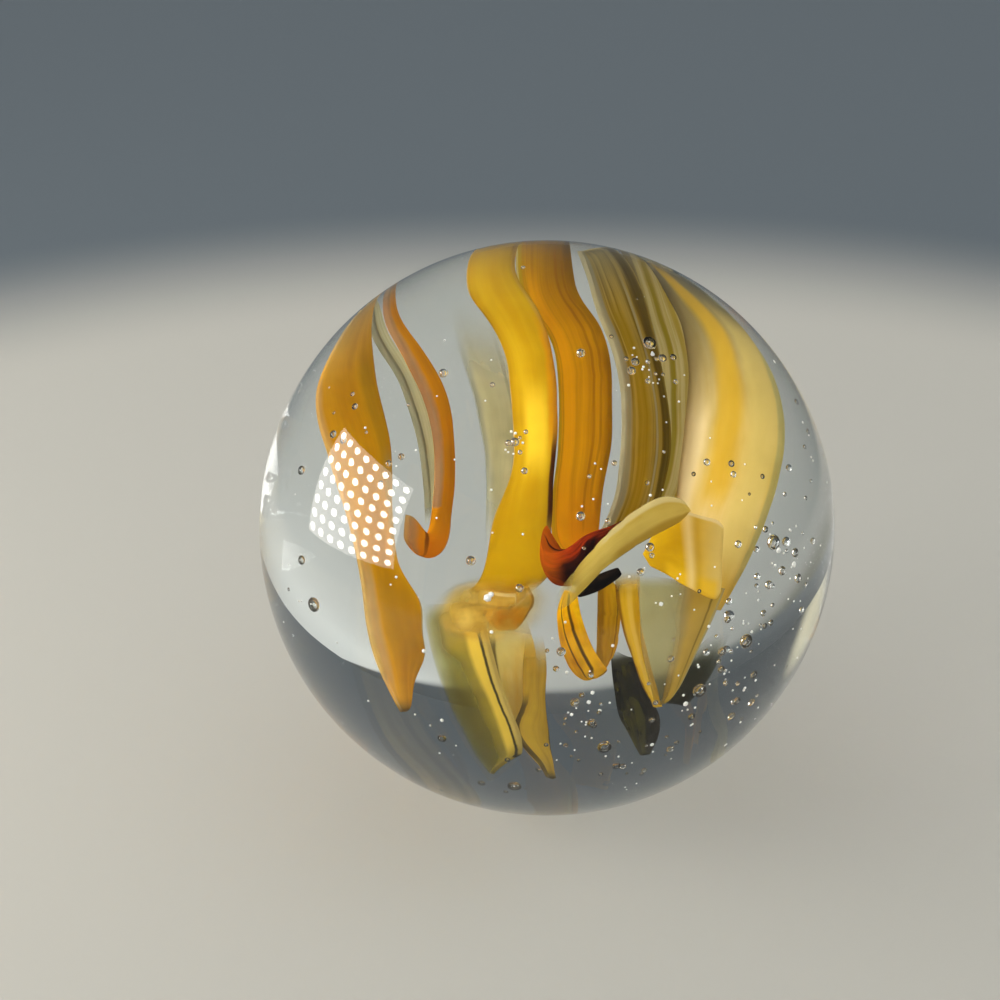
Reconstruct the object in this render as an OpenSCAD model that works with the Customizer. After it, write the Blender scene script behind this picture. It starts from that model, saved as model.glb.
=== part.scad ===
// Glass marble with folded ribbons of coloured glass
//
// A clear glass ball is the body, and every coloured ribbon is a thin sheet fused into it.
// The clear glass is cut away where a ribbon runs, so the pieces meet face to face.
// The origin is the centre of the ball, and Z is up as the marble lies on a table.
//
// The ribbons are laid out about the axis of their bundle, which leans back from upright.
// There X is across, Y runs away from the front and Z runs up the bundle.

/* [Ball] */
// Diameter of the glass ball, mm
marble_d = 16; // [14:0.5:25]
// Lean of the ribbon bundle from upright, degrees
bundle_lean = 26; // [0:1:90]

/* [Ribbons] */
// Thickness of a coloured ribbon along its middle, mm
ribbon_t = 0.3; // [0.16:0.02:0.4]
// Thickness of a ribbon at its two rims, mm
rim_t = 0.1; // [0.06:0.02:0.16]
// Thickness of the grey thread, the grey-olive ribbon and the pale film along their middle, mm
thread_t = 0.16; // [0.12:0.02:0.24]
// Thickness of the red-brown knot along its middle, mm
knot_t = 0.6; // [0.3:0.05:0.8]
// Share of the thickness that is left where a ribbon ends
end_share = 0.4; // [0.2:0.05:1]

/* [Bubbles] */
// Diameter of a large seed bubble, mm
large_bubble_d = 0.36; // [0.2:0.02:0.44]
// Diameter of a small seed bubble, mm
small_bubble_d = 0.22; // [0.1:0.02:0.3]

/* [Hidden] */
$fn = 96;
// Length of one hundredth of the ball's radius, in which the stations below are given
part_of_r = marble_d / 200;

// Stations of each ribbon, from its start to its end: the left rim, then the right rim

left_yellow_path = [
    [-50,   8,  58,  -40,  22,  58],
    [-56,   2,  44,  -39,  20,  42],
    [-61,  -8,  34,  -38,  16,  30],
    [-56, -15,  18,  -36,  10,  18],
    [-51, -20,   2,  -37,   0,   4],
    [-49, -25, -12,  -36,  -8, -11],
    [-49, -30, -25,  -33, -15, -24],
    [-47, -33, -38,  -31, -21, -35],
    [-42, -35, -52,  -39, -33, -51]
];

thin_orange_path = [
    [-35,  26,  55,  -32,  31,  54],
    [-34,  25,  44,  -31,  30,  43],
    [-30,  20,  36,  -26,  28,  36],
    [-27,  15,  28,  -22,  25,  28],
    [-25,  11,  19,  -21,  22,  19],
    [-25,   7,   9,  -21,  20,   8],
    [-26,   4,   3,  -22,  15,   2],
    [-27,   1,  -1,  -23,  10,  -4],
    [-29,  -3,  -1,  -27,   4,  -7],
    [-32,  -7,   2,  -31,  -3,  -6],
    [-34, -10,   3,  -34,  -8,  -3]
];

grey_thread_path = [
    [-31,  40,  48,  -29,  45,  46],
    [-33,  40,  37,  -30,  45,  36],
    [-29,  38,  30,  -26,  43,  30],
    [-26,  35,  18,  -23,  40,  18],
    [-25,  32,   6,  -23,  38,   6],
    [-25,  32,   0,  -24,  36,   0]
];

smoke_path = [
    [-18,  42,  42,  -11,  38,  44],
    [-17,  44,  36,   -9,  38,  38],
    [-15,  44,  28,   -7,  37,  30],
    [-13,  43,  19,   -5,  36,  20],
    [-12,  42,  10,   -6,  36,  11],
    [-12,  41,   2,   -7,  37,   3],
    [-12,  40,  -5,  -10,  38,  -5]
];

bright_yellow_path = [
    [-15,  26,  66,   -6,  20,  70],
    [-18,  20,  53,   -8,  15,  58],
    [-13,  15,  46,   -2,  10,  50],
    [ -9,  10,  38,    1,   5,  40],
    [ -8,   5,  28,    2,   0,  30],
    [ -7,   0,  19,    2,  -5,  20],
    [ -8,   0,  11,    1,  -8,  11],
    [-12,   0,   2,    1,  -6,   0],
    [-14,  -5,  -8,   -1,  -7,  -6],
    [-18, -10, -12,   -7, -10, -13]
];

striped_amber_path = [
    [ -4,  46,  56,    4,  30,  64],
    [ -5,  42,  46,    5,  28,  50],
    [ -1,  38,  41,   10,  25,  43],
    [  2,  34,  35,   13,  20,  37],
    [  3,  30,  26,   14,  15,  28],
    [  3,  25,  16,   14,  12,  18],
    [  2,  22,   7,   12,  10,   8],
    [  2,  20,  -2,   11,  10,  -2],
    [  5,  20,  -5,   10,  12,  -5]
];

olive_path = [
    [ 10,  10,  68,   13,  25,  64],
    [ 14,   5,  52,   19,  22,  48],
    [ 18,   0,  42,   22,  20,  38],
    [ 20,  -5,  31,   25,  15,  28],
    [ 20,  -8,  19,   26,  12,  18],
    [ 19,  -8,   9,   24,  10,   8],
    [ 16,  -5,   1,   20,   8,   0],
    [ 13,  -3,  -4,   15,   3,  -4]
];

grey_olive_path = [
    [ 14,  38,  57,   15,  44,  53],
    [ 20,  38,  43,   22,  46,  41],
    [ 23,  38,  34,   26,  46,  34],
    [ 24,  36,  26,   27,  44,  25],
    [ 24,  34,  16,   27,  42,  16],
    [ 22,  32,   6,   25,  38,   6],
    [ 21,  31,   0,   22,  34,   0]
];

pale_yellow_path = [
    [ 20,  26,  64,   36,   6,  68],
    [ 26,  22,  51,   51,   0,  55],
    [ 30,  20,  43,   61, -10,  47],
    [ 32,  15,  34,   66, -18,  37],
    [ 32,  10,  24,   66, -22,  25],
    [ 31,   6,  13,   62, -22,  12],
    [ 30,   5,   4,   56, -20,  -1],
    [ 31,   5,  -6,   49, -15, -12],
    [ 36,   0, -16,   42,  -8, -20]
];

knot_path = [
    [  0, -19,   0,    0, -19,  -3],
    [  2, -20,  -2,    3, -21,  -8],
    [  5, -22,  -4,    6, -24, -13],
    [  9, -24,  -4,   10, -26, -12],
    [ 13, -26,  -2,   14, -27,  -6],
    [ 18, -27,   1,   18, -27,  -1]
];

amber_lobe_path = [
    [ -8,   5,  -9,   -3,   8,  -9],
    [-11,   4, -13,    0,   8, -13],
    [-11,   3, -18,    1,   7, -18],
    [ -9,   3, -23,   -1,   6, -23],
    [ -6,   3, -25,   -3,   5, -25]
];

front_strip_path = [
    [ 39, -57,   8,   41, -56,   5],
    [ 34, -59,  10,   37, -58,   1],
    [ 26, -61,   6,   29, -60,  -3],
    [ 20, -63,   1,   23, -62,  -7],
    [ 14, -64,  -5,   16, -63, -12],
    [  8, -64, -12,   10, -63, -18],
    [  5, -64, -17,    6, -63, -20]
];

yellow_shield_path = [
    [ 26, -40,  -8,   28, -41, -11],
    [ 32, -40,  -4,   34, -42, -14],
    [ 39, -40,  -1,   40, -44, -17],
    [ 46, -40,   2,   47, -44, -20],
    [ 49, -40,   0,   49, -43, -18]
];

centre_fin_left_path = [
    [-29,  -3, -18,  -18, -40, -20],
    [-28,  -5, -27,  -16, -42, -30],
    [-26,  -9, -38,  -14, -44, -41],
    [-22, -14, -51,  -11, -46, -52],
    [-19, -20, -62,   -8, -47, -62],
    [-16, -29, -71,   -8, -42, -67]
];

centre_fin_right_path = [
    [ -5, -28, -27,   -2, -20, -26],
    [ -6, -32, -35,   -1, -19, -34],
    [ -6, -34, -46,   -1, -21, -44],
    [ -6, -39, -57,    0, -26, -54],
    [ -3, -40, -67,    1, -31, -65],
    [  0, -39, -75,    2, -36, -75]
];

centre_leaf_path = [
    [-12, -20, -21,   -8, -11, -21],
    [-13, -23, -29,   -6,  -7, -27],
    [-12, -25, -39,   -5,  -8, -37],
    [-10, -25, -48,   -5, -11, -46],
    [ -7, -22, -54,   -6, -18, -53]
];

pale_film_path = [
    [-32, -50, -22,  -32, -50, -25],
    [-28, -53, -18,  -27, -53, -30],
    [-21, -55, -14,  -21, -55, -33],
    [-14, -56, -11,  -14, -56, -34],
    [ -6, -56, -12,   -6, -56, -32],
    [  0, -55, -15,    0, -55, -28],
    [  3, -54, -19,    3, -54, -22]
];

dark_bead_path = [
    [ 11, -31, -14,   12, -31, -17],
    [ 14, -32, -12,   15, -32, -16],
    [ 17, -32, -11,   18, -32, -13]
];

amber_fold_path = [
    [  5,  -8, -15,    7, -14, -16],
    [  4,  -6, -20,    8, -19, -22],
    [  4,  -7, -26,   11, -21, -30],
    [  6,  -9, -33,   14, -21, -35],
    [ 10, -11, -36,   15, -19, -36],
    [ 13, -14, -37,   14, -17, -37]
];

amber_leaf_path = [
    [ 12,   7, -12,   13,  12, -11],
    [ 12,   5, -16,   15,  14, -16],
    [ 12,   5, -23,   15,  13, -22],
    [ 12,   6, -29,   14,  10, -28],
    [ 12,   6, -32,   13,   8, -32]
];

right_fin_path = [
    [ 24, -35, -12,   47, -25, -16],
    [ 25, -36, -22,   44, -25, -23],
    [ 26, -36, -33,   39, -26, -34],
    [ 29, -36, -44,   35, -30, -45],
    [ 30, -35, -49,   32, -33, -49]
];

right_fin_leg_path = [
    [ 17, -15, -11,   23, -18, -10],
    [ 18, -16, -21,   23, -18, -20],
    [ 21, -17, -31,   25, -19, -30],
    [ 25, -18, -40,   27, -20, -40],
    [ 28, -20, -47,   30, -21, -47]
];

dark_fin_path = [
    [ 14,  22, -26,   19,  12, -29],
    [ 15,  22, -33,   22,  12, -37],
    [ 16,  19, -41,   25,  12, -42],
    [ 19,  17, -47,   25,  12, -47],
    [ 21,  15, -51,   23,  14, -51]
];

dark_flap_path = [
    [ 38,   4, -26,   44,  -4, -25],
    [ 33,   4, -31,   42,  -4, -31],
    [ 29,   4, -36,   38,  -4, -39],
    [ 28,   2, -41,   33,  -3, -43]
];

// Places of the large and the small seed bubbles
large_bubbles = [
    [31, -55, 56], [63, -30, -4], [58, -40, -33], [17, -45, -65],
    [-10, -35, -79], [-67, -30, -22], [45, -45, -48]
];
small_bubbles = [
    [34, -50, 50], [26, -55, 49], [70, -25, -7], [70, -20, -14], [66, -28, -12], [51, -45, -36],
    [62, -35, -44], [8, -50, -50], [13, -50, -57], [21, -40, -72], [-69, -25, -9], [-31, -40, -62],
    [56, -30, -51], [4, -55, -35], [-21, -50, -9], [-68, -20, 16]
];

// Length of a vector made one
function unit(v) = v / norm(v);

// Station i of a path, held at its first and last one
function station(path, i) = path[max(0, min(len(path) - 1, i))];

// Both rims on the smooth curve through the stations, a share f of the way from station i to the next
function on_curve(path, i, f) =
    let (a = station(path, i - 1), b = station(path, i), c = station(path, i + 1), d = station(path, i + 2))
    (2 * b + (c - a) * f + (2 * a - 5 * b + 4 * c - d) * f * f
        + (3 * b - a - 3 * c + d) * f * f * f) / 2;

// All the places along a ribbon, with the given number of steps from each station to the next
function places(path, steps) = concat(
    [for (i = [0 : len(path) - 2]) for (k = [0 : steps - 1]) on_curve(path, i, k / steps)],
    [path[len(path) - 1]]
);

// Left rim, right rim and middle of one place, in mm
function left_rim(p) = part_of_r * [p[0], p[1], p[2]];
function right_rim(p) = part_of_r * [p[3], p[4], p[5]];
function middle(p) = (left_rim(p) + right_rim(p)) / 2;

// The section of a ribbon at place k: flat in the middle, thin at the rims, and bowed by a share of its width
function section(list, k, t, bow) =
    let (
        last = len(list) - 1,
        l = left_rim(list[k]),
        r = right_rim(list[k]),
        along = middle(list[min(last, k + 1)]) - middle(list[max(0, k - 1)]),
        n = unit(cross(along, r - l)),
        reach = min(k, last - k) / last,
        taper = end_share + (1 - end_share) * min(1, 5 * reach),
        half = t * taper / 2,
        rim = min(rim_t, t * taper * 0.9) / 2,
        lift = bow * norm(r - l)
    )
    [
        l + n * rim,
        l + (r - l) * 0.25 + n * (lift * 0.75 + half),
        l + (r - l) * 0.75 + n * (lift * 0.75 + half),
        r + n * rim,
        r - n * rim,
        l + (r - l) * 0.75 + n * (lift * 0.75 - half),
        l + (r - l) * 0.25 + n * (lift * 0.75 - half),
        l - n * rim
    ];

// One ribbon: its sections joined into a closed sheet
module ribbon(path, t = ribbon_t, bow = 0, steps = 3) {
    list = places(path, steps);
    last = len(list) - 1;
    points = [for (k = [0 : last]) each section(list, k, t, bow)];
    start_faces = [for (i = [0 : 2]) [7 - i, 6 - i, i + 1, i]];
    end_faces = [for (i = [0 : 2]) [8 * last + i, 8 * last + i + 1, 8 * last + 6 - i, 8 * last + 7 - i]];
    sides = [
        for (k = [0 : last - 1]) for (i = [0 : 7])
            let (a = 8 * k + i, b = 8 * k + (i + 1) % 8)
            each [[a, b, b + 8], [a, b + 8, a + 8]]
    ];
    polyhedron(points, concat(start_faces, sides, end_faces), convexity = 6);
}

// The bundle's lean, for whatever is placed about its axis
module lean() rotate([-bundle_lean, 0, 0]) children();

// The seed bubbles of one size
module bubbles(list, d) lean() for (p = list) translate(part_of_r * p) sphere(d = d, $fn = 24);

module left_yellow_ribbon() color([0.85, 0.62, 0.12]) lean() ribbon(left_yellow_path, bow = 0.1);
module thin_orange_ribbon() color([0.78, 0.42, 0.06]) lean() ribbon(thin_orange_path, steps = 2);
module grey_thread() color([0.45, 0.47, 0.42]) lean() ribbon(grey_thread_path, t = thread_t, steps = 2);
module smoke_ribbon() color([0.55, 0.56, 0.40]) lean() ribbon(smoke_path, bow = 0.1, steps = 2);
module bright_yellow_ribbon() color([0.93, 0.72, 0.10]) lean() ribbon(bright_yellow_path, bow = 0.12, steps = 2);
module striped_amber_ribbon() color([0.75, 0.42, 0.06]) lean() ribbon(striped_amber_path, bow = 0.12);
module olive_ribbon() color([0.50, 0.43, 0.16]) lean() ribbon(olive_path, bow = -0.1);
module grey_olive_ribbon() color([0.46, 0.42, 0.24]) lean() ribbon(grey_olive_path, t = thread_t, steps = 2);
module pale_yellow_ribbon() color([0.90, 0.78, 0.35]) lean() ribbon(pale_yellow_path, bow = 0.12);
module knot() color([0.42, 0.12, 0.03]) lean() ribbon(knot_path, t = knot_t, steps = 2);
module pale_film() color([0.86, 0.80, 0.58]) lean() ribbon(pale_film_path, t = thread_t, steps = 2);
module dark_bead() color([0.10, 0.06, 0.03]) lean() ribbon(dark_bead_path);
module amber_lobe() color([0.80, 0.45, 0.06]) lean() ribbon(amber_lobe_path, bow = 0.1);
module front_strip() color([0.92, 0.83, 0.50]) lean() ribbon(front_strip_path, steps = 2);
module yellow_shield() color([0.90, 0.66, 0.10]) lean() ribbon(yellow_shield_path, bow = 0.1);
module centre_fin_left() color([0.85, 0.66, 0.18]) lean() ribbon(centre_fin_left_path, bow = 0.1);
module centre_leaf() color([0.86, 0.76, 0.40]) lean() ribbon(centre_leaf_path, bow = 0.1);
module centre_fin_right() color([0.88, 0.62, 0.10]) lean() ribbon(centre_fin_right_path);
module amber_fold() color([0.75, 0.42, 0.06]) lean() ribbon(amber_fold_path, bow = 0.15);
module amber_leaf() color([0.85, 0.60, 0.10]) lean() ribbon(amber_leaf_path, bow = 0.1);
module right_fin() color([0.88, 0.78, 0.42]) lean() ribbon(right_fin_path, bow = 0.1);
module right_fin_leg() color([0.88, 0.66, 0.12]) lean() ribbon(right_fin_leg_path);
module dark_fin() color([0.25, 0.20, 0.06]) lean() ribbon(dark_fin_path, bow = 0.1);
module dark_flap() color([0.25, 0.20, 0.06]) lean() ribbon(dark_flap_path, bow = 0.1);

module clear_glass() color([0.85, 0.90, 0.92, 0.35]) difference() {
    sphere(d = marble_d);
    left_yellow_ribbon();
    thin_orange_ribbon();
    grey_thread();
    smoke_ribbon();
    bright_yellow_ribbon();
    striped_amber_ribbon();
    olive_ribbon();
    grey_olive_ribbon();
    pale_yellow_ribbon();
    pale_film();
    knot();
    dark_bead();
    amber_lobe();
    front_strip();
    yellow_shield();
    centre_fin_left();
    centre_leaf();
    centre_fin_right();
    amber_fold();
    amber_leaf();
    right_fin();
    right_fin_leg();
    dark_fin();
    dark_flap();
    bubbles(large_bubbles, large_bubble_d);
    bubbles(small_bubbles, small_bubble_d);
}

clear_glass();
left_yellow_ribbon();
thin_orange_ribbon();
grey_thread();
smoke_ribbon();
bright_yellow_ribbon();
striped_amber_ribbon();
olive_ribbon();
grey_olive_ribbon();
pale_yellow_ribbon();
pale_film();
knot();
dark_bead();
amber_lobe();
front_strip();
yellow_shield();
centre_fin_left();
centre_leaf();
centre_fin_right();
amber_fold();
amber_leaf();
right_fin();
right_fin_leg();
dark_fin();
dark_flap();
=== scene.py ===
# %% [markdown]
# # A glass marble with folded ribbons
#
# The real thing is one lump of glass: a clear ball, with thin sheets of yellow, amber, olive and smoke
# glass folded inside it while it was hot, and tiny bubbles, which glassmakers call seed. The part's solids
# already hold the ball, every sheet and the larger bubbles. What is left for Blender is the look: light
# that bends at the surface, coloured glass that lets some light through, and streaks that run along each
# sheet. This first cell loads the solids and keeps their size.

# %% Load the part
import math
import random

import bmesh
import bpy
import numpy as np
from mathutils import Matrix, Vector, noise
from mathutils.bvhtree import BVHTree


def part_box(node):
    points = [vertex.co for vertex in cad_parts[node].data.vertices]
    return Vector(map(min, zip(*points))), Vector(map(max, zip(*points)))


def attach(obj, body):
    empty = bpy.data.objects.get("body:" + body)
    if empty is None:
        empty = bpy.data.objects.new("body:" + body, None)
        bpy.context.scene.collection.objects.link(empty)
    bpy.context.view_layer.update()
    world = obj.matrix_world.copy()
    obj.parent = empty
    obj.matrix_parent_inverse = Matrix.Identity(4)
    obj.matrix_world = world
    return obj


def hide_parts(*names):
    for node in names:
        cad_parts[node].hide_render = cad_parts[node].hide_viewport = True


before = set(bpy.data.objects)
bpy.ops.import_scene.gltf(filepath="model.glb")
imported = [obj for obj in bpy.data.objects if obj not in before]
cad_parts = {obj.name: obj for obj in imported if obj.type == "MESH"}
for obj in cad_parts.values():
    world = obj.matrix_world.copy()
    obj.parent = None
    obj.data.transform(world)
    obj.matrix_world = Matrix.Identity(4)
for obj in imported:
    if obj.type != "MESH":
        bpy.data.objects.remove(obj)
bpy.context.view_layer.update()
low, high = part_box("clear_glass")
BALL_R = (high[2] - low[2]) / 2
print("solids:", len(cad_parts), "ball radius in mm:", round(BALL_R * 1000, 3))

# %% [markdown]
# The sheets hang in a bundle that leans back by 26 degrees. It is easier to think about them standing up,
# so one matrix turns the part's own frame into the bundle's frame: X runs across the bundle, Y runs away
# from its front, and Z runs up it. Places in that frame are given in hundredths of the ball's radius.

# %% The bundle's own frame
BUNDLE_LEAN = math.radians(26)
TO_BUNDLE = Matrix.Rotation(BUNDLE_LEAN, 3, "X")
FROM_BUNDLE = TO_BUNDLE.transposed()


def bundle_place(x, y, z):
    """A place given in hundredths of the radius, in the part's frame."""
    return FROM_BUNDLE @ Vector((x, y, z)) * (BALL_R / 100)


print("up the bundle is", [round(v, 3) for v in FROM_BUNDLE @ Vector((0, 0, 1))])

# %% [markdown]
# A node tree is a recipe, and most of its lines say the same thing: add a node, then fill its inputs with a
# number or with another node's output. One small helper does that, and a few more give names to the steps
# that the finishes use again and again. Two more start an empty finish and put an object into the scene.

# %% Helpers for node trees and objects


def add(tree, kind, inputs=None, **settings):
    """A new node; each input takes a plain value or another node's output."""
    made = tree.nodes.new(kind)
    for key, value in settings.items():
        setattr(made, key, value)
    for key, value in (inputs or {}).items():
        if isinstance(value, bpy.types.NodeSocket):
            tree.links.new(value, made.inputs[key])
        else:
            made.inputs[key].default_value = value
    return made


def sums(tree, operation, a, b=0.0):
    """One step of arithmetic."""
    return add(tree, "ShaderNodeMath", {0: a, 1: b}, operation=operation).outputs[0]


def between(tree, value, start, end):
    """0 at start and 1 at end, with a soft step from one to the other."""
    inputs = {"Value": value, "From Min": start, "From Max": end}
    return add(tree, "ShaderNodeMapRange", inputs, interpolation_type="SMOOTHSTEP").outputs[0]


def either(tree, which, at_zero, at_one):
    """One value where which is 0 and the other where it is 1."""
    inputs = {"Value": which, "To Min": at_zero, "To Max": at_one}
    return add(tree, "ShaderNodeMapRange", inputs).outputs[0]


def measure(tree, operation, a, b=(0.0, 0.0, 0.0)):
    """One number from one vector or two."""
    return add(tree, "ShaderNodeVectorMath", {0: a, 1: b}, operation=operation).outputs["Value"]


def blend_colour(tree, share, first, second):
    """A colour part of the way from the first to the second."""
    mix = add(tree, "ShaderNodeMix", {0: share}, data_type="RGBA")
    for index, colour in ((6, first), (7, second)):
        if isinstance(colour, bpy.types.NodeSocket):
            tree.links.new(colour, mix.inputs[index])
        else:
            mix.inputs[index].default_value = (*colour, 1.0)
    return mix.outputs[2]


def empty_finish(name):
    """A new material, and its node tree with nothing in it."""
    finish = bpy.data.materials.new(name)
    finish.use_nodes = True
    finish.node_tree.nodes.clear()
    return finish, finish.node_tree


def put(name, data):
    """A new object in the scene."""
    made = bpy.data.objects.new(name, data)
    bpy.context.collection.objects.link(made)
    return made


print("helpers ready: add, sums, between, either, measure, blend_colour, empty_finish, put")

# %% [markdown]
# Each sheet starts as a copy of its solid. A solid comes as loose triangles, so the copy is merged, its
# triangles are paired into quads, and its sharp rims are marked as creases. Then a subdivision surface can
# round the long curves without pulling the rims in. Hot glass never lies quite true, so a little noise then
# waves each sheet, by much less than the clear glass between two of them.

# %% Smooth copies of the solid sheets
RIM_ANGLE = math.radians(48)
QUAD_BEND = math.radians(35)
QUAD_SKEW = math.radians(70)
SAME_PLACE = 1e-7
ROUNDING_LEVELS = 2
LONG_WAVE = (420.0, 0.00005)
SHORT_WAVE = (1500.0, 0.000016)
WAVE_SEED = 5
noise.seed_set(WAVE_SEED)


def merged_solid(node):
    """The solid of one node, with its loose triangles merged."""
    bm = bmesh.new()
    bm.from_mesh(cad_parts[node].data)
    bmesh.ops.remove_doubles(bm, verts=bm.verts, dist=SAME_PLACE)
    return bm


def smooth_copy(node, keep_rims=True):
    """A smooth mesh with the shape of one solid sheet."""
    bm = merged_solid(node)
    bmesh.ops.join_triangles(
        bm, faces=bm.faces, angle_face_threshold=QUAD_BEND, angle_shape_threshold=QUAD_SKEW
    )
    crease = bm.edges.layers.float.new("crease_edge")
    for edge in bm.edges:
        if keep_rims and len(edge.link_faces) == 2 and edge.calc_face_angle() > RIM_ANGLE:
            edge[crease] = 1.0
    rough = bpy.data.meshes.new("rough")
    bm.to_mesh(rough)
    bm.free()
    carrier = put("carrier", rough)
    rounding = carrier.modifiers.new("rounding", "SUBSURF")
    rounding.levels = ROUNDING_LEVELS
    rounding.render_levels = ROUNDING_LEVELS
    seen = carrier.evaluated_get(bpy.context.evaluated_depsgraph_get())
    smooth = bpy.data.meshes.new_from_object(seen)
    bpy.data.objects.remove(carrier)
    for vertex in smooth.vertices:
        for scale, depth in (LONG_WAVE, SHORT_WAVE):
            vertex.co += noise.noise_vector(vertex.co * scale) * depth
    smooth.shade_smooth()
    smooth.set_sharp_from_angle(angle=RIM_ANGLE)
    return smooth


print("a smooth copy keeps its rims sharper than", round(math.degrees(RIM_ANGLE)), "degrees")

# %% [markdown]
# The streaks in the glass run along each sheet, so a finish has to know where on the sheet a point is. Two
# numbers are stored on every vertex: "along", from 0 at the low end to 1 at the top, and "across", from 0 at
# the left rim to 1 at the right rim. The direction across is the one in which the sheet's slices are widest.

# %% Measure along and across
SLICES = 40
FEWEST_POINTS = 3
NARROWEST = 1e-6


def measure_sheet(mesh, lies_across=False):
    """Stores along and across on the mesh; a sheet that lies across the bundle is measured along X."""
    points = np.empty(len(mesh.vertices) * 3)
    mesh.vertices.foreach_get("co", points)
    points = points.reshape(-1, 3) @ np.array(TO_BUNDLE).T
    if lies_across:
        points = points[:, [2, 1, 0]]
    height = points[:, 2]
    along = (height - height.min()) / (height.max() - height.min())
    slice_of = np.minimum((along * SLICES).astype(int), SLICES - 1)
    spread = np.zeros((2, 2))
    for k in range(SLICES):
        rows = points[slice_of == k, :2]
        if len(rows) > FEWEST_POINTS:
            spread += np.cov((rows - rows.mean(0)).T)
    widest = np.linalg.eigh(spread)[1][:, 1]
    widest = widest * np.sign(widest[0])
    place = points[:, :2] @ widest
    filled = [k for k in range(SLICES) if (slice_of == k).sum() > FEWEST_POINTS]
    middles = [(k + 0.5) / SLICES for k in filled]
    left = np.interp(along, middles, [place[slice_of == k].min() for k in filled])
    right = np.interp(along, middles, [place[slice_of == k].max() for k in filled])
    across = np.clip((place - left) / np.maximum(right - left, NARROWEST), 0, 1)
    for name, values in (("along", along), ("across", across)):
        layer = mesh.attributes.new(name, "FLOAT", "POINT")
        layer.data.foreach_set("value", values.astype(np.float32))


print("sheets are measured in", SLICES, "slices")

# %% [markdown]
# Coloured glass does two things with light. Part of it passes straight through and takes the tint of the
# glass, and part of it is scattered in the streaks and comes back to the eye. So the finish mixes a tinted
# Transparent shader with Principled and Translucent ones, and a number between 0 and 1, the body, says how
# much of the light is scattered. The streaks are noise that is drawn out along the sheet. Lines and bands
# are laid over it by their place across and along the sheet, as the folds of the real glass show.

# %% The coloured glass finish
CLEAR = (1.0, 1.0, 1.0)
STRIP_CORE = 0.35
STRIP_END = 0.06
SWAY_SCALE = 420.0
SWAY = 0.22
STREAK_PACE = 1.1
STREAK_STEP = 0.25
MOST_SOLID = 0.98
LIT_FROM_BEHIND = 0.25


def strip_at(tree, value, middle, width, along, low_end, high_end):
    """1 inside a strip of the sheet, 0 outside it."""
    off = sums(tree, "ABSOLUTE", sums(tree, "SUBTRACT", value, middle))
    inside = between(tree, off, width, width * STRIP_CORE)
    above = between(tree, along, low_end - STRIP_END, low_end + STRIP_END)
    below = between(tree, along, high_end + STRIP_END, high_end - STRIP_END)
    return sums(tree, "MULTIPLY", sums(tree, "MULTIPLY", inside, above), below)


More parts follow.
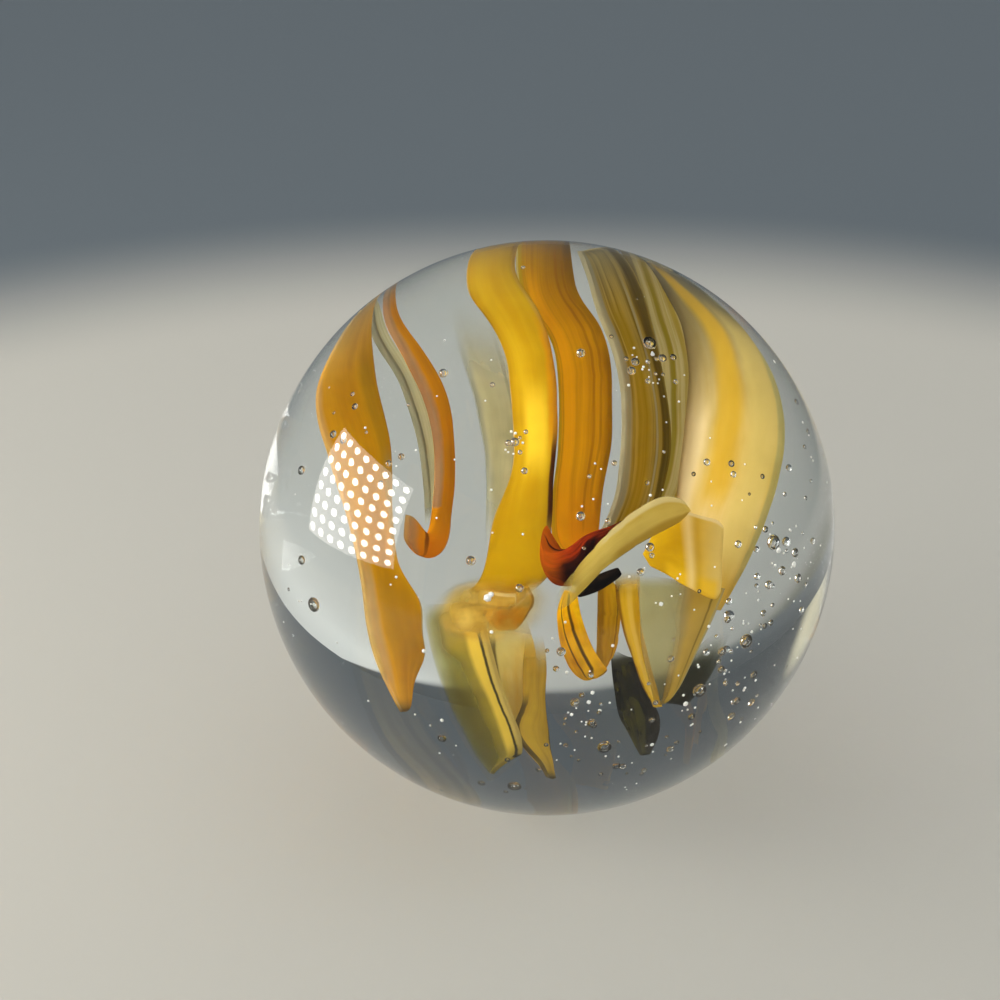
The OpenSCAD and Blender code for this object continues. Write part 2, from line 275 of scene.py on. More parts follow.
def sheet_glass(name, light, deep, tint, body, streaks=9.0, contrast=0.6, patchy=0.5, grain_size=700.0,
                top=None, tip=None, rim=None, bands=(), lines=(), fade=0.0, fade_top=0.0,
                soft_edge=(0.0, 0.0), seed=0.0):
    """Streaky coloured glass.

    A top or tip is (where it starts, colour, share), and a rim is (width, colour, share, body). A band or a
    line is (across, width, low end, high end, colour, share, body). The body there is added to the sheet's.
    """
    finish, tree = empty_finish(name)
    across = add(tree, "ShaderNodeAttribute", attribute_name="across").outputs["Fac"]
    along = add(tree, "ShaderNodeAttribute", attribute_name="along").outputs["Fac"]
    place = add(tree, "ShaderNodeTexCoord").outputs["Object"]

    # Slow bends of the streaks, then the streaks themselves
    sway = add(tree, "ShaderNodeTexNoise", {"Vector": place, "Scale": SWAY_SCALE, "Detail": 2.0}).outputs[0]
    swayed = sums(tree, "ADD", across, sums(tree, "MULTIPLY", sums(tree, "SUBTRACT", sway, 0.5), SWAY))
    grain = add(tree, "ShaderNodeCombineXYZ", {
        "X": sums(tree, "MULTIPLY", swayed, streaks),
        "Y": sums(tree, "MULTIPLY", along, STREAK_PACE),
        "Z": seed,
    }).outputs[0]
    streak = add(tree, "ShaderNodeTexNoise", {
        "Vector": grain, "Scale": 1.0, "Detail": 4.0, "Roughness": 0.62,
    }).outputs[0]
    share = between(tree, streak, 0.5 - STREAK_STEP * contrast, 0.5 + STREAK_STEP * contrast)

    # Cloudy patches, where the sheet is thicker or thinner
    cloud = add(tree, "ShaderNodeTexNoise", {"Vector": place, "Scale": grain_size, "Detail": 3.0}).outputs[0]
    thick = sums(tree, "MULTIPLY", sums(tree, "SUBTRACT", cloud, 0.5), patchy)
    solid = sums(tree, "ADD", thick, body)
    colour = blend_colour(tree, sums(tree, "ADD", share, thick), deep, light)

    # The paler or darker top, the tip and the two rims
    if top:
        at_top = between(tree, along, top[0], 1.0)
        colour = blend_colour(tree, sums(tree, "MULTIPLY", at_top, top[2]), colour, top[1])
    if tip:
        at_tip = between(tree, along, tip[0], 0.0)
        colour = blend_colour(tree, sums(tree, "MULTIPLY", at_tip, tip[2]), colour, tip[1])
    if rim:
        off_middle = sums(tree, "ABSOLUTE", sums(tree, "SUBTRACT", across, 0.5))
        at_rim = between(tree, off_middle, 0.5 - rim[0], 0.5)
        colour = blend_colour(tree, sums(tree, "MULTIPLY", at_rim, rim[2]), colour, rim[1])
        solid = sums(tree, "ADD", solid, sums(tree, "MULTIPLY", at_rim, rim[3]))

    # Broad bands sway with the streaks, and fold lines keep their place
    for value, strips in ((swayed, bands), (across, lines)):
        for middle, width, low_end, high_end, strip_colour, strength, strip_body in strips:
            inside = strip_at(tree, value, middle, width, along, low_end, high_end)
            colour = blend_colour(tree, sums(tree, "MULTIPLY", inside, strength), colour, strip_colour)
            solid = sums(tree, "ADD", solid, sums(tree, "MULTIPLY", inside, strip_body))

    # A sheet that thins out towards an end, or towards both rims, loses its tint there as well
    solid = add(tree, "ShaderNodeClamp", {"Value": solid, "Min": 0.0, "Max": MOST_SOLID}).outputs[0]
    kept = None
    if fade:
        kept = between(tree, along, 0.0, fade)
    if fade_top:
        at_end = between(tree, along, 1.0, 1.0 - fade_top)
        kept = sums(tree, "MULTIPLY", kept, at_end) if kept else at_end
    for width, inward in ((soft_edge[0], across), (soft_edge[1], sums(tree, "SUBTRACT", 1.0, across))):
        if width:
            at_edge = between(tree, inward, 0.0, width)
            kept = sums(tree, "MULTIPLY", kept, at_edge) if kept else at_edge
    clear = add(tree, "ShaderNodeBsdfTransparent", {"Color": (*tint, 1.0)})
    if kept:
        solid = sums(tree, "MULTIPLY", solid, kept)
        tree.links.new(blend_colour(tree, kept, CLEAR, tint), clear.inputs["Color"])

    front = add(tree, "ShaderNodeBsdfPrincipled", {
        "Base Color": colour, "Roughness": 0.6, "Specular IOR Level": 0.0,
    }).outputs[0]
    through = add(tree, "ShaderNodeBsdfTranslucent", {"Color": colour}).outputs[0]
    glow = add(tree, "ShaderNodeMixShader", {0: LIT_FROM_BEHIND, 1: front, 2: through}).outputs[0]
    glass = add(tree, "ShaderNodeMixShader", {0: solid, 1: clear.outputs[0], 2: glow}).outputs[0]
    add(tree, "ShaderNodeOutputMaterial", {"Surface": glass})
    return finish


print("finish ready: sheet_glass")

# %% [markdown]
# Dressing a sheet is then always the same: copy the solid, measure it, give it its finish, hang the piece on
# the part's root so that it moves with the part, and hide the solid. A few sheets need a last touch, as
# with a sculpting brush: a rim drawn out sideways, a spot pulled aside, or a lump that is crumpled.

# %% Dress one sheet
sheet_pieces = {}
CRUMPLE_SCALE = 1100.0


def reshape(mesh, widen, pulls, crumple):
    """Draws out the rims, pulls single spots and crumples.

    A pull is (place, reach, move). All of these and the widths are in hundredths of the radius.
    """
    unit = BALL_R / 100
    across = np.empty(len(mesh.vertices), dtype=np.float32)
    mesh.attributes["across"].data.foreach_get("value", across)
    for vertex, share in zip(mesh.vertices, across):
        start = vertex.co.copy()
        sideways = widen[1] * share ** 2 - widen[0] * (1 - share) ** 2
        vertex.co += FROM_BUNDLE @ Vector((sideways * unit, 0, 0))
        for place, reach, move in pulls:
            near = 1 - (start - bundle_place(*place)).length / (reach * unit)
            if near > 0:
                vertex.co += FROM_BUNDLE @ Vector(move) * unit * near * near * (3 - 2 * near)
        vertex.co += noise.noise_vector(start * CRUMPLE_SCALE) * crumple


def dress(node, lies_across=False, keep_rims=True, widen=(0.0, 0.0), pulls=(), crumple=0.0, **finish):
    """Makes the piece that stands for one solid sheet."""
    mesh = smooth_copy(node, keep_rims=keep_rims)
    mesh.name = node + "_glass"
    measure_sheet(mesh, lies_across)
    reshape(mesh, widen, pulls, crumple)
    mesh.materials.clear()
    mesh.materials.append(sheet_glass(node + " finish", **finish))
    piece = put(node + "_glass", mesh)
    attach(piece, "root")
    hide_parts(node)
    sheet_pieces[node] = piece
    print(node, "has", len(mesh.polygons), "faces")


# %% [markdown]
# The yellow and orange sheets are the brightest. The left one is golden and thins to a pale patch at its
# right rim, the thin orange one has pale margins, and the bright one in the middle has the lightest spot.

# %% Yellow and orange sheets
GOLD = (1.0, 0.50, 0.002)
DEEP_GOLD = (0.70, 0.32, 0.002)
ORANGE = (0.80, 0.34, 0.002)
YELLOW_TINT = (0.97, 0.76, 0.10)
RED_LINE = (0.06, 0.004, 0.002)
PALE = (0.80, 0.62, 0.30)

dress("left_yellow_ribbon", light=GOLD, deep=DEEP_GOLD, tint=YELLOW_TINT, body=0.9, streaks=3.0,
      pulls=[((-34, -12, -19), 13, (3, 0, 0)), ((-32, -24, -41), 15, (-2, 0, 0)),
             ((-40, -34, -52), 9, (0, 0, -1))],
      contrast=0.9, top=(0.78, (0.80, 0.55, 0.13), 0.9), tip=(0.05, (0.05, 0.03, 0.004), 0.8),
      rim=(0.07, PALE, 0.45, -0.25),
      bands=[(0.80, 0.30, 0.55, 0.85, (0.42, 0.24, 0.006), 0.7, 0.0),
             (0.86, 0.26, 0.42, 0.60, (0.62, 0.45, 0.20), 0.95, -0.45),
             (0.50, 0.50, 0.16, 0.38, (0.58, 0.29, 0.002), 0.8, 0.0)],
      lines=[(0.99, 0.06, 0.05, 0.40, (0.90, 0.76, 0.50), 0.7, -0.2),
             (0.04, 0.16, 0.08, 0.40, (0.80, 0.60, 0.26), 0.7, -0.3)], seed=1.0)
dress("thin_orange_ribbon", light=ORANGE, deep=(0.70, 0.26, 0.002), tint=(0.97, 0.82, 0.40), body=0.9,
      streaks=3.0, contrast=0.8, top=(0.84, (0.50, 0.40, 0.22), 0.85), tip=(0.16, (1.0, 0.34, 0.003), 0.9),
      rim=(0.19, (0.66, 0.50, 0.27), 0.8, -0.45),
      lines=[(0.99, 0.05, 0.15, 0.85, (0.16, 0.11, 0.05), 0.7, 0.3),
             (0.30, 0.06, 0.02, 0.14, (0.05, 0.012, 0.002), 0.8, 0.0)], seed=2.0)
dress("bright_yellow_ribbon", light=(0.72, 0.44, 0.010), deep=(0.60, 0.33, 0.003), tint=YELLOW_TINT,
      pulls=[((-16, -8, 9), 8, (-3, 0, 0)), ((-13, -10, -13), 14, (-1, 0, -5)),
             ((-4, -9, -9), 11, (5, 0, 0))],
      body=0.95, streaks=2.5, contrast=1.0, top=(0.72, (0.38, 0.225, 0.025), 0.9),
      tip=(0.40, (0.60, 0.34, 0.002), 0.9),
      rim=(0.06, (0.80, 0.50, 0.12), 0.5, -0.1),
      bands=[(0.66, 0.34, 0.34, 0.54, (1.0, 0.66, 0.03), 0.95, 0.0),
             (0.97, 0.12, 0.40, 0.72, (0.80, 0.30, 0.003), 0.7, 0.0)],
      lines=[(0.995, 0.05, 0.16, 0.42, RED_LINE, 0.95, 0.1),
             (0.01, 0.05, 0.30, 0.80, (0.86, 0.70, 0.36), 0.6, 0.0)], fade=0.06, seed=3.0)

# %% [markdown]
# Next come the amber sheets, which are the most streaked ones, and the dense red-brown knot in which the
# bundle was twisted off.

# %% Amber sheets and the knot
AMBER = (0.76, 0.37, 0.002)
BROWN = (0.48, 0.21, 0.001)
AMBER_TINT = (0.95, 0.66, 0.08)

dress("striped_amber_ribbon", light=AMBER, deep=BROWN, tint=AMBER_TINT, body=0.95, streaks=12.0, contrast=1.3,
      top=(0.66, (0.20, 0.115, 0.004), 0.9), tip=(0.3, (1.0, 0.40, 0.002), 0.8),
      bands=[(0.13, 0.15, 0.05, 0.95, (0.42, 0.27, 0.004), 0.85, 0.0),
             (0.45, 0.18, 0.0, 0.78, (0.86, 0.39, 0.002), 0.75, 0.0),
             (0.07, 0.06, 0.72, 0.95, (0.52, 0.42, 0.14), 0.9, 0.0)],
      lines=[(0.84, 0.025, 0.1, 0.9, (0.34, 0.13, 0.001), 0.5, 0.0),
             (0.92, 0.02, 0.2, 0.9, (0.36, 0.15, 0.001), 0.5, 0.0),
             (0.28, 0.03, 0.0, 0.9, (0.40, 0.21, 0.001), 0.5, 0.0)], seed=4.0)
dress("amber_lobe", crumple=0.0003, pulls=[((-5, 5, -17), 24, (-5, 0, 1))], light=(0.96, 0.52, 0.004),
      deep=(0.68, 0.29, 0.002), tint=(0.96, 0.70, 0.12), body=0.9, streaks=4.0, contrast=1.1, patchy=1.7,
      grain_size=1700.0, tip=(0.3, (0.74, 0.33, 0.004), 0.85),
      bands=[(0.80, 0.20, 0.30, 1.0, (0.78, 0.66, 0.22), 0.9, -0.25)],
      lines=[(0.96, 0.05, 0.1, 0.9, (0.14, 0.05, 0.003), 0.85, 0.2),
             (0.58, 0.035, 0.2, 0.8, (0.34, 0.13, 0.003), 0.7, 0.1),
             (0.34, 0.03, 0.35, 0.95, (0.40, 0.18, 0.003), 0.7, 0.1)],
      soft_edge=(0.15, 0.0), fade_top=0.15, seed=5.0)
dress("amber_fold", light=(1.0, 0.60, 0.004), deep=(0.90, 0.44, 0.003), tint=AMBER_TINT, body=0.88,
      streaks=4.0, patchy=1.0, grain_size=2000.0,
      lines=[(0.62, 0.035, 0.0, 0.95, (0.05, 0.022, 0.003), 0.85, 0.2),
             (0.86, 0.05, 0.0, 0.97, (0.03, 0.014, 0.003), 0.9, 0.2),
             (0.02, 0.06, 0.0, 0.9, (0.20, 0.08, 0.002), 0.7, 0.0)], seed=6.0)
dress("amber_leaf", light=(0.84, 0.50, 0.008), deep=(0.58, 0.31, 0.003), tint=AMBER_TINT, body=0.65,
      streaks=4.0, patchy=0.9, rim=(0.1, (0.16, 0.08, 0.003), 0.7, 0.1),
      lines=[(0.45, 0.06, 0.0, 0.8, (0.10, 0.05, 0.003), 0.7, 0.1)], fade_top=0.15, seed=7.0)
dress("knot", lies_across=True, crumple=0.00018, pulls=[((3, -21, -9), 10, (-3, 0, -4))],
      light=(0.36, 0.032, 0.003), deep=(0.05, 0.004, 0.001), tint=(0.5, 0.06, 0.01), body=0.92, streaks=6.0,
      contrast=0.4, patchy=1.2, tip=(0.40, (0.80, 0.17, 0.004), 0.65), top=(0.7, (0.05, 0.012, 0.003), 0.9),
      lines=[(0.02, 0.12, 0.25, 0.75, (0.012, 0.004, 0.002), 0.95, 0.1),
             (0.55, 0.05, 0.05, 0.5, (0.02, 0.004, 0.002), 0.9, 0.1),
             (0.97, 0.06, 0.2, 1.0, (0.03, 0.006, 0.003), 0.9, 0.1)], seed=8.0)
dress("dark_bead", lies_across=True, keep_rims=False,
      pulls=[((11, -31, -16), 7, (-4, 0, -1)), ((18, -32, -12), 7, (2, 0, 1))],
      light=(0.016, 0.009, 0.005), deep=(0.006, 0.004, 0.003), tint=(0.10, 0.05, 0.02), body=0.92,
      streaks=3.0, seed=9.0)

# %% [markdown]
# The olive and smoke sheets have less colour in them, so more light passes through: grey-green bands with
# dark lines along a rim and white streaks between.

# %% Olive and smoke sheets
OLIVE_TINT = (0.86, 0.70, 0.12)
SMOKE_TINT = (0.92, 0.90, 0.74)

dress("grey_thread", light=(0.95, 0.90, 0.60), deep=(0.75, 0.70, 0.42), tint=SMOKE_TINT, body=0.55,
      streaks=3.0, lines=[(0.03, 0.12, 0.0, 1.0, (0.12, 0.11, 0.06), 0.75, 0.4)], fade=0.15, seed=10.0)
dress("smoke_ribbon", light=(0.68, 0.58, 0.29), deep=(0.48, 0.42, 0.20), tint=SMOKE_TINT, body=0.66,
      streaks=2.5, contrast=1.0, patchy=1.2,
      bands=[(0.12, 0.22, 0.0, 0.85, (0.27, 0.25, 0.14), 0.75, 0.1)],
      lines=[(0.98, 0.05, 0.2, 0.9, (0.80, 0.74, 0.52), 0.8, 0.2),
             (0.92, 0.04, 0.2, 0.9, (0.17, 0.15, 0.08), 0.6, 0.2)],
      fade=0.3, fade_top=0.5, soft_edge=(0.2, 0.06), seed=11.0)
dress("olive_ribbon", widen=(2.0, 1.5), light=(0.60, 0.40, 0.06), deep=(0.26, 0.15, 0.002), tint=OLIVE_TINT,
      body=0.88, streaks=11.0, contrast=0.55, top=(0.7, (0.40, 0.34, 0.16), 0.7),
      bands=[(0.42, 0.20, 0.0, 0.75, (0.50, 0.30, 0.003), 0.75, 0.0),
             (0.06, 0.13, 0.0, 1.0, (0.46, 0.42, 0.26), 0.85, -0.1)],
      lines=[(0.72, 0.035, 0.05, 0.8, (0.62, 0.52, 0.24), 0.8, 0.0),
             (0.90, 0.10, 0.0, 1.0, (0.13, 0.08, 0.004), 0.85, 0.1)], seed=12.0)
dress("grey_olive_ribbon", widen=(2.0, 0.8), light=(0.76, 0.61, 0.26), deep=(0.50, 0.34, 0.03),
      tint=OLIVE_TINT, body=0.8, streaks=5.0, contrast=0.6,
      bands=[(0.32, 0.10, 0.0, 1.0, (0.34, 0.24, 0.008), 0.9, 0.1)],
      lines=[(0.96, 0.09, 0.0, 0.97, (0.05, 0.045, 0.03), 0.9, 0.2),
             (0.02, 0.08, 0.0, 0.97, (0.14, 0.09, 0.01), 0.7, 0.2)], seed=13.0)

# %% [markdown]
# The pale sheets are cream and greenish yellow. The large one at the right has a golden band down its
# middle, and the strip that crosses the front is the one nearest to the eye.

# %% Pale sheets
CREAM = (0.78, 0.60, 0.26)
PALE_TINT = (0.97, 0.90, 0.55)

dress("pale_yellow_ribbon", light=CREAM, deep=(0.62, 0.40, 0.05), tint=PALE_TINT, body=0.93, streaks=2.5,
      contrast=1.0, top=(0.40, (0.17, 0.14, 0.06), 0.95), tip=(0.25, (0.74, 0.45, 0.03), 0.8),
      bands=[(0.50, 0.20, 0.30, 0.95, (0.66, 0.40, 0.02), 0.85, 0.0),
             (0.84, 0.22, 0.1, 0.85, (0.66, 0.50, 0.14), 0.8, 0.0),
             (0.14, 0.20, 0.2, 0.55, (0.88, 0.70, 0.36), 0.8, 0.0)],
      lines=[(0.99, 0.04, 0.1, 0.9, (0.62, 0.60, 0.24), 0.6, -0.3)], seed=14.0)
dress("front_strip", lies_across=True, pulls=[((6, -64, -18), 12, (-3, 0, -4))], light=(0.80, 0.59, 0.13),
      deep=(0.62, 0.42, 0.06), tint=PALE_TINT, body=0.85, streaks=2.0, contrast=1.0,
      top=(0.55, (0.74, 0.52, 0.10), 0.7),
      bands=[(0.10, 0.25, 0.4, 1.0, (0.44, 0.25, 0.015), 0.75, 0.0),
             (0.90, 0.14, 0.3, 1.0, (0.84, 0.70, 0.34), 0.7, 0.0)],
      fade=0.25, soft_edge=(0.05, 0.05), seed=15.0)
dress("yellow_shield", lies_across=True, pulls=[((35, -40, -2), 14, (-2, -2, 7))],
      light=(0.86, 0.52, 0.008), deep=(0.72, 0.41, 0.004), tint=YELLOW_TINT, body=0.88, streaks=2.0,
      contrast=0.9, top=(0.55, (0.80, 0.60, 0.18), 0.85),
      bands=[(0.10, 0.22, 0.3, 0.95, (0.92, 0.56, 0.012), 0.8, 0.0),
             (0.50, 1.00, 0.56, 0.66, (0.95, 0.74, 0.30), 0.75, 0.0),
             (0.50, 1.00, 0.66, 0.72, (0.56, 0.32, 0.01), 0.6, 0.0)],
      lines=[(0.985, 0.05, 0.2, 1.0, (0.92, 0.78, 0.42), 0.6, 0.0)], seed=16.0)
dress("pale_film", lies_across=True, crumple=0.00022, light=(0.80, 0.54, 0.10), deep=(0.56, 0.33, 0.03),
      tint=(0.98, 0.84, 0.44), body=0.55, streaks=2.0, contrast=1.2, patchy=1.8, grain_size=1500.0,
      lines=[(0.90, 0.04, 0.0, 0.40, (0.12, 0.09, 0.02), 0.8, 0.3),
             (0.55, 0.03, 0.2, 0.7, (0.34, 0.22, 0.04), 0.6, 0.1),
             (0.72, 0.03, 0.4, 0.8, (0.98, 0.80, 0.36), 0.7, 0.1)],
      fade=0.25, fade_top=0.6, soft_edge=(0.35, 0.4), seed=17.0)

# %% [markdown]
# The fins at the low end are the torn tips of the sheets. They are thin, so the ground behind shows through
# them, and their rims are dark lines where the sheet was folded.

# %% Lower fins
FIN = (0.42, 0.29, 0.02)
FIN_DEEP = (0.25, 0.18, 0.012)
DARK_OLIVE = (0.035, 0.030, 0.006)
BLACK_LINE = (0.012, 0.009, 0.004)

dress("centre_fin_left", light=FIN, deep=FIN_DEEP, tint=(0.74, 0.70, 0.34), body=0.8, streaks=2.5,
      contrast=0.9, top=(0.72, (0.46, 0.36, 0.14), 0.8),
      bands=[(0.20, 0.70, 0.0, 0.72, (0.15, 0.12, 0.010), 0.9, -0.4),
             (0.16, 0.42, 0.66, 1.0, (0.34, 0.28, 0.12), 0.8, -0.45),
             (0.90, 0.11, 0.1, 0.85, (0.78, 0.52, 0.05), 0.8, 0.1)],
      lines=[(0.95, 0.022, 0.02, 0.86, BLACK_LINE, 0.95, 0.4),
             (1.0, 0.045, 0.02, 0.9, (0.62, 0.44, 0.10), 0.95, 0.0)],
      soft_edge=(0.3, 0.0), fade_top=0.12, seed=18.0)
dress("centre_leaf", widen=(2.0, 2.0), light=(1.0, 0.86, 0.28), deep=(0.95, 0.72, 0.13), tint=PALE_TINT,
      body=0.82, streaks=3.0, patchy=0.9,
      lines=[(0.02, 0.05, 0.0, 0.8, (0.10, 0.06, 0.004), 0.9, 0.3),
             (0.98, 0.07, 0.0, 0.7, (0.16, 0.05, 0.003), 0.9, 0.3)],
      tip=(0.14, (0.14, 0.02, 0.002), 0.9), fade_top=0.35, seed=19.0)
dress("centre_fin_right", pulls=[((-6, -39, -58), 14, (-3, 0, 0))], light=(0.74, 0.46, 0.03),
      deep=(0.56, 0.33, 0.02), tint=(0.86, 0.76, 0.30), body=0.8, streaks=3.0,
      lines=[(0.96, 0.12, 0.0, 0.75, DARK_OLIVE, 0.9, 0.1), (0.02, 0.04, 0.0, 0.6, BLACK_LINE, 0.8, 0.2)],
      tip=(0.08, DARK_OLIVE, 0.8), fade_top=0.3, seed=20.0)
dress("right_fin", light=(0.52, 0.44, 0.20), deep=(0.42, 0.36, 0.15), tint=(0.93, 0.89, 0.64), body=0.28,
      streaks=2.5, patchy=0.8, tip=(0.5, (0.12, 0.08, 0.004), 0.95),
      bands=[(0.82, 0.42, 0.0, 0.95, (0.66, 0.42, 0.05), 0.95, 0.5)],
      lines=[(0.86, 0.025, 0.1, 0.95, (0.20, 0.13, 0.01), 0.8, 0.2),
             (0.985, 0.035, 0.0, 0.95, (0.62, 0.54, 0.26), 0.7, -0.2)], fade_top=0.12, seed=21.0)
dress("right_fin_leg", light=(0.88, 0.56, 0.03), deep=(0.72, 0.42, 0.01), tint=YELLOW_TINT, body=0.9,
      streaks=2.5,
      bands=[(0.06, 0.22, 0.0, 0.97, (0.24, 0.11, 0.003), 0.9, 0.0),
             (0.66, 0.16, 0.05, 0.9, (0.92, 0.62, 0.10), 0.7, 0.0)], fade_top=0.22, seed=22.0)
dress("dark_fin", light=(0.052, 0.046, 0.004), deep=(0.005, 0.004, 0.001), tint=(0.13, 0.12, 0.03), body=0.7,
      streaks=3.0, contrast=0.5, patchy=1.6, grain_size=1800.0,
      lines=[(0.97, 0.10, 0.0, 0.95, BLACK_LINE, 0.9, 0.4)], fade_top=0.2, seed=23.0)
dress("dark_flap", light=(0.050, 0.048, 0.010), deep=(0.018, 0.017, 0.003), tint=(0.28, 0.28, 0.13), body=0.5,
      streaks=3.0, patchy=0.9, tip=(0.3, BLACK_LINE, 0.8), fade_top=0.6, soft_edge=(0.12, 0.12), seed=24.0)

# %% [markdown]
# Next come the seed bubbles. The larger ones are voids in the solid, and they are found in it as small
# closed shells that are round.

# %% Find the bubbles of the solid
LARGEST_BUBBLE = BALL_R / 20
ROUND_WITHIN = 1.3


def solid_bubbles():
    """Centre and radius of each small round shell inside the solid ball."""
    bm = merged_solid("clear_glass")
    found = []
    left = set(bm.verts)
    for first in bm.verts:
        if first not in left:
            continue
        left.remove(first)
        shell = [first]
        for vert in shell:
            for edge in vert.link_edges:
                other = edge.other_vert(vert)
                if other in left:
                    left.remove(other)
                    shell.append(other)
        centre = sum((v.co for v in shell), Vector()) / len(shell)
        reach = [(v.co - centre).length for v in shell]
        if max(reach) < LARGEST_BUBBLE and max(reach) < ROUND_WITHIN * min(reach):
            found.append((centre, max(reach)))
    bm.free()
    return found


bubbles = solid_bubbles()
print("bubbles in the solid:", len(bubbles))

# %% [markdown]
# The finer bubbles are scattered in clouds, where the real glass has them, with a fixed seed. A bubble that
# would touch a sheet or another bubble is left out. The finest ones are kept apart as specks with painted
# glints.

# %% Scatter the fine bubbles
BUBBLE_SEED = 11
FINE = 0.000025
COARSE = 0.00011
MOSTLY_FINE = 3
GLINT_BELOW = 0.000038
UNDER_SURFACE = 0.955
BUBBLE_GAP = 1.2
SHEET_GAP = 1.3
MICROMETRE = 1e-6

# Each cloud: its middle in hundredths of the radius, its spread, and how many bubbles it has
clouds = [
    ((30, -48, 48), 4, 14), ((26, -45, 40), 4, 10), ((64, -24, -6), 7, 24), ((58, -38, -30), 8, 24),
    ((44, -38, -48), 8, 22), ((62, -10, -20), 9, 20), ((57, -4, -43), 9, 20), ((12, -46, -52), 5, 16),
    ((10, -38, -62), 6, 14), ((24, -26, -70), 7, 14), ((-10, -32, -74), 6, 6), ((-28, -24, -52), 7, 6),
    ((-66, -24, -14), 9, 10), ((-34, -38, 13), 5, 8), ((-8, -24, 22), 3, 12), ((10, -42, 12), 7, 10),
    ((-60, -34, 30), 6, 8), ((67, 10, 16), 6, 14), ((48, -52, 18), 10, 14), ((34, -56, -18), 7, 12),
    ((-26, -34, 36), 6, 7), ((0, 0, 0), 42, 70),
]

# Seed where the real marble glints most, painted as white grains: place in hundredths of the radius, and
# radius in micrometres
glint_seed = [
    (-17, -62, -20, 105), (-16, -62, -19, 75), (-16, -62, -30, 50), (30, -50, 56, 75), (31, -50, 51, 60),
    (67, -10, 49, 60), (33, -60, -22, 60), (13, -50, -47, 55), (12, -50, -50, 60), (15, -45, -52, 50),
    (7, -45, -53, 50), (41, -45, -52, 75), (32, -45, -66, 60), (-10, -30, -77, 80), (62, -20, -6, 70),
    (68, -20, -10, 75), (61, -20, -10, 45), (46, -45, -28, 45), (58, -30, -47, 50), (60, -20, -72, 55),
    (56, -20, -68, 60), (-34, -40, -34, 55), (-9, -60, 27, 40), (24, -60, 42, 45), (-29, -30, -53, 50),
    (19, -60, -34, 45),
]

dice = random.Random(BUBBLE_SEED)
specks = []
sheet_trees = [BVHTree.FromPolygons([v.co for v in p.data.vertices], [f.vertices for f in p.data.polygons])
               for p in sheet_pieces.values()]


def clear_of_all(place, radius):
    """True where a bubble touches no sheet and no other bubble, and stays under the surface."""
    if place.length > BALL_R * UNDER_SURFACE - radius:
        return False
    if any((place - other).length < (radius + size) * BUBBLE_GAP for other, size in bubbles):
        return False
    return all(tree.find_nearest(place)[3] > radius * SHEET_GAP for tree in sheet_trees)


for x, y, z, micrometres in glint_seed:
    place = bundle_place(x, y, z)
    radius = micrometres * MICROMETRE
    if clear_of_all(place, radius):
        specks.append((place, radius))
for middle, spread, count in clouds:
    for _ in range(count):
        place = bundle_place(*(m + dice.gauss(0, spread) for m in middle))
        radius = FINE + (COARSE - FINE) * dice.random() ** MOSTLY_FINE
        if clear_of_all(place, radius):
            # The finest bubbles become white specks, painted glints, and the rest stay bubbles
            (specks if radius < GLINT_BELOW else bubbles).append((place, radius))
print("bubbles:", len(bubbles), "white specks:", len(specks))

# %% [markdown]
# The finest seed is too small to show what lies behind it, and in the light it sparkles. A plain white grain
# stands for each, as a painted glint, so that it looks like a white speck.

# %% White specks, painted glints
GLINT_WHITE = (0.93, 0.91, 0.84, 1.0)

glint_finish = bpy.data.materials.new("white seed glint finish")
glint_finish.use_nodes = True
glint_shader = glint_finish.node_tree.nodes["Principled BSDF"]
glint_shader.inputs["Base Color"].default_value = GLINT_WHITE
glint_shader.inputs["Roughness"].default_value = 0.4
grains = bmesh.new()
for place, radius in specks:
    bmesh.ops.create_icosphere(grains, subdivisions=1, radius=radius, matrix=Matrix.Translation(place))
speck_mesh = bpy.data.meshes.new("fine_seed")
grains.to_mesh(speck_mesh)
grains.free()
speck_mesh.shade_smooth()
speck_mesh.materials.append(glint_finish)
fine_seed = put("fine_seed", speck_mesh)
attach(fine_seed, "root")
print("fine seed has", len(speck_mesh.polygons), "faces")

# %% [markdown]
# The ball and its bubbles are one piece of glass, so one Geometry Nodes tree makes them together. A ball
# with a surface that is never quite true, as on a real marble, is joined with a small shell at each bubble.
# The shells are turned inside out, because their faces have to point out of the glass, which is into the
# bubble. The waves dip below the true ball, so that the piece doesn't grow past its solid.

# %% Geometry Nodes tree of the ball
WAVE_TOP = 0.75


